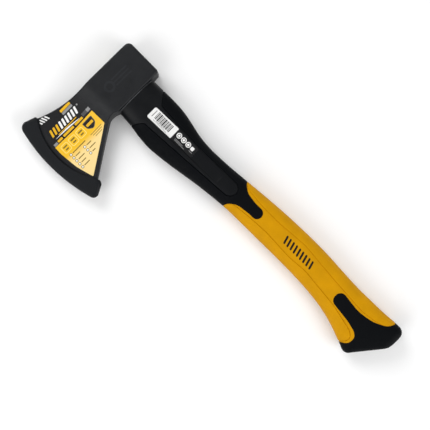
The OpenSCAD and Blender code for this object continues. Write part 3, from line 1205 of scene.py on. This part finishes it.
def build_head():
    """Forging with rounded edges, ground edge, etched mark and through eye."""
    coated, ground, etched = range(3)
    edge_wall = 0.6
    outline = rounded(HEAD_CORNERS)

    def height(points):
        flat = np.minimum(cheek_half(points[:, 0]), np.maximum(bevel_half(points), EDGE_THICK / 2))
        return rounded_down(flat, inside(points, outline), head_rounding(points))

    fields = {
        "fillet": lambda points: inside(points, outline) / head_rounding(points),
        "bevel": lambda points: bevel_half(points) - cheek_half(points[:, 0]),
        "ground": lambda points: bevel_half(points) - GROUND_HALF,
        "mark": head_mark,
    }
    sheet = plan_sheet(HEAD_CORNERS, HEAD_PITCH, height, fields)
    sheet.cut("bevel", 0.0)
    sheet.cut("ground", 0.0)
    sheet.cut("fillet", *FILLET_LEVELS)
    sheet.cut("mark", 0.0)
    marks = np.where(sheet.mean("mark") > 0, etched, coated)
    marks = np.where(sheet.mean("ground") < 0, ground, marks)
    points, faces, count = symmetric_solid(sheet)
    kinds = np.full(len(faces), coated)
    kinds[:count] = marks
    kinds[count:2 * count] = np.where(marks == etched, coated, marks)
    thin = np.abs(points[faces][:, :, 2]).max(axis=1) < edge_wall
    kinds[2 * count:][thin[2 * count:]] = ground
    materials = [BLACK_COAT, GROUND_STEEL, ETCHED_COAT]
    solid = new_mesh("head_forging", points, faces, materials, kinds)
    mesh = subtract(solid, eye_cutter())
    add_piece("head_forging", mesh, "axe", "axe_head", "coated_steel")


def eye_cutter():
    """Eye of the head with its mouth flared a little at both ends."""
    flare = 0.7
    # Height of each ring, and how much larger than the eye it is
    levels = [
        (flare, 4 * flare),
        (-flare, 0),
        (-POLL_HEIGHT + flare, 0),
        (-POLL_HEIGHT - flare, 4 * flare),
    ]
    rings = [
        stadium_ring(EYE_X, EYE_LENGTH + spread, EYE_WIDTH + spread, y, BAR_COUNT)
        for y, spread in levels
    ]
    points, faces = close_rings(np.concatenate(rings), ring_faces(len(rings), BAR_COUNT))
    return new_mesh("eye_cutter", points, faces, [BLACK_COAT])


def build_guard():
    """Edge guard: a rounded nose and two walls that end at a curved lip."""
    outline = rounded(GUARD_CORNERS)
    nose_round = 2.9
    lip_round = 0.6

    def from_lip(points):
        return reach_from(points, LIP_CENTRE) - LIP_RADIUS

    def height(points):
        from_nose = GUARD_RADIUS - reach_from(points, EDGE_CENTRE)
        flat = GUARD_NOSE_HALF + from_nose * GUARD_WALL_SLOPE
        rim = rounded_down(flat, inside(points, outline), nose_round)
        return rounded_down(rim, from_lip(points), lip_round)

    def from_edge(points):
        return rounded_meet(inside(points, outline), from_lip(points), GUARD_END_RADIUS)

    fields = {"lip": from_lip, "edge": from_edge}
    sheet = plan_sheet(GUARD_CORNERS, GUARD_PITCH, height, fields)
    sheet.cut("edge", 0.0)
    sheet.keep(sheet.mean("edge") > 0)
    sheet.cut("lip", *(lip_round * level for level in FILLET_LEVELS))
    sheet.cut("rim", *(nose_round * level for level in FILLET_LEVELS))
    points, faces, _ = symmetric_solid(sheet)
    solid = new_mesh("edge_guard", points, faces, [GUARD_BLACK])
    mesh = subtract(solid, cavity_cutter())
    add_piece("edge_guard", mesh, "guard", "blade_guard", "guard_black")


def cavity_cutter():
    """Space for the blade inside the guard, a little larger than the blade."""

    def height(points):
        return cheek_half(points[:, 0]) + GUARD_GAP

    points, faces, _ = symmetric_solid(plan_sheet(CAVITY_CORNERS, CAVITY_PITCH, height, {}))
    return new_mesh("cavity_cutter", points, faces, [GUARD_BLACK])


# Labels ----------------------------------------------------------------

HEAD_LABEL_PITCH = 0.5
HANDLE_LABEL_PITCH = 0.25


def build_label(name, corners, pitch, height, prints, base, node, slot):
    """Thin film with printed shapes, each a field and an ink; later prints lie on top."""
    fields = {f"print_{k}": field for k, (field, _) in enumerate(prints)}
    sheet = plan_sheet(corners, pitch, height, fields)
    for key in fields:
        sheet.cut(key, 0.0)
    inks = [base]
    choice = np.zeros(len(sheet.triangles), dtype=int)
    for key, (_, ink) in zip(fields, prints):
        if ink not in inks:
            inks.append(ink)
        choice[sheet.mean(key) > 0] = inks.index(ink)
    top = sheet.place(sheet.params)
    under = top - [0, 0, LABEL_THICK - 2 * LABEL_GAP]
    points, faces, count = shell(top, under, sheet.triangles)
    kinds = np.zeros(len(faces), dtype=int)
    kinds[:count] = choice
    mesh = new_mesh(name, points, faces, inks, kinds)
    add_piece(name, mesh, "axe", node, slot)


def bar(x, y, width, height, ink, radius=0.0, slant=0.0):
    """Print in the shape of a bar about its middle."""
    return outline_field(box_corners(x, y, width, height, radius, slant)), ink


def outlined(field, width, ink, ground):
    """Shape filled with the ground's ink and outlined by a line of another ink."""
    return [(field, ink), (lambda points: field(points) - width, ground)]


def head_label_prints():
    """Plain blocks, tiles and bullets in the places of the printed panel's contents."""
    panel = [
        (-122, -21.6, 0), (-96, -22.4, 40), (-66, -21.6, 0), (-66, -34, 0), (-72, -40, 0),
        (-113.9, -69, 0), (-121, -55, 0),
    ]
    return [
        # Panel yellow with painted glare towards its foot
        (outline_field(panel), INK_YELLOW_GLARE),
        *label_header(),
        *label_tiles(),
        *label_bullets(),
    ]


def label_header():
    """Abstract bars, stripes and strips of the label's black upper field."""
    flash = [(-116.5, -16.4, 0), (-98, -17.6, 30), (-80, -18.6, 0), (-98, -16.0, 40)]
    prints = [
        (outline_field(flash), INK_WHITE),
        bar(-117.6, -20.0, 4.4, 2.6, INK_GREY, 0.3),
        bar(-86.7, -1.1, 12.6, 2.6, INK_YELLOW, 0.3),
        bar(-86.7, -4.1, 12.6, 2.5, INK_GREY, 0.3),
        bar(-97.5, -15.3, 24, 0.8, INK_YELLOW, 0.2),
        (disc_field(-76.9, -7.4, 0.9), INK_GREY),
    ]
    for x, length in ((-111.6, 6.0), (-100.2, 13.4), (-86.6, 10.2)):
        prints.append(bar(x, -19.7, length, 2.3, INK_YELLOW, 0.3))
    for k in range(4):
        prints.append(bar(-114.4 + 2.8 * k, 5.4 - 0.3 * k, 1.4, 5.6, INK_WHITE, slant=-2.4))
    for k in range(9):
        ink = INK_YELLOW if k < 3 else INK_WHITE
        prints.append(bar(-113.4 + 4.0 * k, -10.2, 2.3, 7.0, ink, 0.3, slant=1.9))
    for k in range(5):
        ink = INK_DIM if k < 3 else INK_GREY
        prints.append(bar(-79.6 + 2.0 * k, -18.2, 2.0, 3.4, ink))
    return prints


def label_tiles():
    """Three outlined tiles and a dark shield, each with plain bars inside."""
    tile_line, shield_line = 0.6, 0.7
    shield = [
        (-86.6, -24, 1), (-74.6, -24, 1), (-75.2, -31, 3.5), (-80.6, -34.8, 3), (-86, -31, 3.5),
    ]
    prints = []
    for x in (-112.8, -102.8, -92.8):
        tile = outline_field(box_corners(x, -29.0, 8.6, 8.8, 1.8))
        # Tile ground in the yellow with painted glare towards the foot
        prints += outlined(tile, tile_line, INK_PALE, INK_YELLOW_GLARE)
        prints.append(bar(x, -27.6, 5.2, 1.5, INK_BRONZE, 0.3))
        prints.append(bar(x, -30.6, 3.8, 1.5, INK_BRONZE, 0.3))
    prints += outlined(outline_field(shield), shield_line, INK_DIM, INK_BLACK)
    prints.append(bar(-80.6, -28.6, 8.2, 2.6, INK_YELLOW, 0.4))
    return prints


def label_bullets():
    """Two columns of round bullets, each followed by a plain bar, and three lines beside."""
    left, right, side = -114.3, -99.6, -80.5
    indent, bullet_radius, dot_radius = 2.4, 1.5, 0.95
    rows = [(left, y, length) for y, length in ((-37, 17), (-41, 6), (-45, 8), (-49, 6), (-53, 7))]
    rows += [(right, y, length) for y, length in ((-41, 6), (-45, 8), (-49, 4))]
    prints = []
    for x, y, length in rows:
        prints.append((disc_field(x, y, bullet_radius), INK_BRONZE))
        prints.append((disc_field(x, y, dot_radius), INK_WHITE))
        prints.append(bar(x + indent + length / 2, y, length, 0.9, INK_BRONZE, 0.3))
    for y, length in ((-37, 15), (-39, 12), (-41, 9)):
        prints.append(bar(side, y, length, 0.6, INK_BRONZE, 0.2))
    return prints


def barcode_prints():
    """Thin and thick bars across the label, with plain lines of small print beside them."""
    first_y, middle_x, length, gap = -68.3, -30.0, 7.8, 0.5
    thicknesses = [0.5, 0.9, 0.4, 1.3, 0.5, 0.4, 0.9, 0.5, 1.4, 0.4, 0.8, 0.5, 1.1, 0.4, 0.6, 0.9]
    prints = []
    y = first_y
    for thickness in thicknesses:
        prints.append(bar(middle_x, y - thickness / 2, length, thickness, INK_BLACK))
        y -= thickness + gap
    prints.append(bar(-35.4, -77.5, 0.4, 17.5, INK_GREY, 0.1))
    prints.append(bar(-34.5, -77.5, 0.4, 11.0, INK_GREY, 0.1))
    prints.append(bar(-30.4, -65.6, 7.5, 0.9, INK_GREY, 0.2))
    return prints


def icon_prints():
    """Column of plain round symbols with lines of small print beside them."""
    column_x, disc_radius, ring_radius, ring_line = -28.5, 2.7, 1.8, 0.6
    prints = []
    for y in (-97.0, -103.0, -109.0):
        prints.append((disc_field(column_x, y, disc_radius), INK_WHITE))
        ring = disc_field(column_x, y, ring_radius)
        prints += outlined(ring, ring_line, INK_BLACK, INK_WHITE)
    prints.append(bar(-28.6, -114.4, 3.6, 3.6, INK_WHITE, 0.8))
    for x, y, length in ((-34.4, -102.5, 13), (-33.2, -101.0, 10), (-32.0, -115.0, 4)):
        prints.append(bar(x, y, 0.5, length, INK_GREY, 0.15))
    return prints


def build_labels():
    def on_cheek(points):
        return cheek_half(points[:, 0]) + LABEL_THICK

    def in_channel(points):
        return np.full(len(points), CHANNEL_FLOOR + LABEL_GAP + LABEL_THICK)

    build_label("cheek_label", HEAD_LABEL_CORNERS, HEAD_LABEL_PITCH, on_cheek,
                head_label_prints(), INK_BLACK, "head_label", "head_print")
    build_label("bar_label", BARCODE_CORNERS, HANDLE_LABEL_PITCH, in_channel,
                barcode_prints(), INK_WHITE, "barcode_label", "white_film")
    build_label("symbol_label", ICON_CORNERS, HANDLE_LABEL_PITCH, in_channel,
                icon_prints(), INK_BLACK, "icon_label", "black_film")


# Studio ----------------------------------------------------------------

CAMERA_HEIGHT = 0.8
FRAME_WIDTH = 0.4102
SENSOR = 36.0
AIM = (-56.8, -173.6, 0.0)
CAMERA_TURN = math.radians(-44.48)
FLOOR_HALF = 12.0
LIGHT_SIZE = 1.2
# Name, place in metres and power in watts
LIGHTS = [
    ("front_light", (-1.3, 0.1, 1.15), 12),
    ("head_light", (0.3, 1.5, 1.2), 18),
    ("butt_light", (0.3, -1.6, 1.2), 18),
]


def build_camera():
    camera = bpy.data.objects.new("camera", bpy.data.cameras.new("camera"))
    camera.data.sensor_width = SENSOR
    camera.data.lens = SENSOR * CAMERA_HEIGHT / FRAME_WIDTH
    camera.data.clip_end = 20
    camera.location = Vector(to_frame(AIM)) + Vector((0, 0, CAMERA_HEIGHT))
    camera.rotation_euler = (0, 0, CAMERA_TURN)
    bpy.context.scene.collection.objects.link(camera)
    bpy.context.scene.camera = camera


def build_floor():
    shader = Shader("pale_floor", (0.92, 0.92, 0.92), roughness=0.85, specular=0.1)
    shader.mottle(shader.noise(0.3), amount=0.004)
    half = FLOOR_HALF
    mesh = bpy.data.meshes.new("floor")
    corners = [(-half, -half, 0), (half, -half, 0), (half, half, 0), (-half, half, 0)]
    mesh.from_pydata(corners, [], [(0, 1, 2, 3)])
    mesh.materials.append(shader.material)
    floor = bpy.data.objects.new("floor", mesh)
    bpy.context.scene.collection.objects.link(floor)


def area_light(name, position, power):
    """Square soft light that faces the object."""
    light = bpy.data.lights.new(name, "AREA")
    light.size = LIGHT_SIZE
    light.energy = power
    lamp = bpy.data.objects.new(name, light)
    lamp.location = position
    lamp.rotation_euler = (-Vector(position)).to_track_quat("-Z", "Y").to_euler()
    bpy.context.scene.collection.objects.link(lamp)


def build_world():
    """White surround that is dimmer overhead than at the horizon."""
    horizon_strength, overhead_strength, overhead_height = 0.7, 0.42, 0.6
    world = bpy.data.worlds.new("studio")
    world.use_nodes = True
    tree = world.node_tree
    direction = add_node(tree, "TexCoord", {}).outputs["Generated"]
    split = add_node(tree, "SeparateXYZ", {"Vector": direction})
    strength = add_node(tree, "MapRange", {
        "Value": split.outputs["Z"],
        "From Max": overhead_height,
        "To Min": horizon_strength,
        "To Max": overhead_strength,
    })
    background = tree.nodes["Background"]
    background.inputs["Color"].default_value = (1.0, 1.0, 1.0, 1.0)
    tree.links.new(strength.outputs["Result"], background.inputs["Strength"])
    bpy.context.scene.world = world


def build_lights():
    build_world()
    for light in LIGHTS:
        area_light(*light)
    bpy.context.scene.view_settings.view_transform = "Standard"


build_camera()
build_floor()
build_lights()
build_head()
build_guard()
build_handle()
build_core()
build_glue()
build_labels()
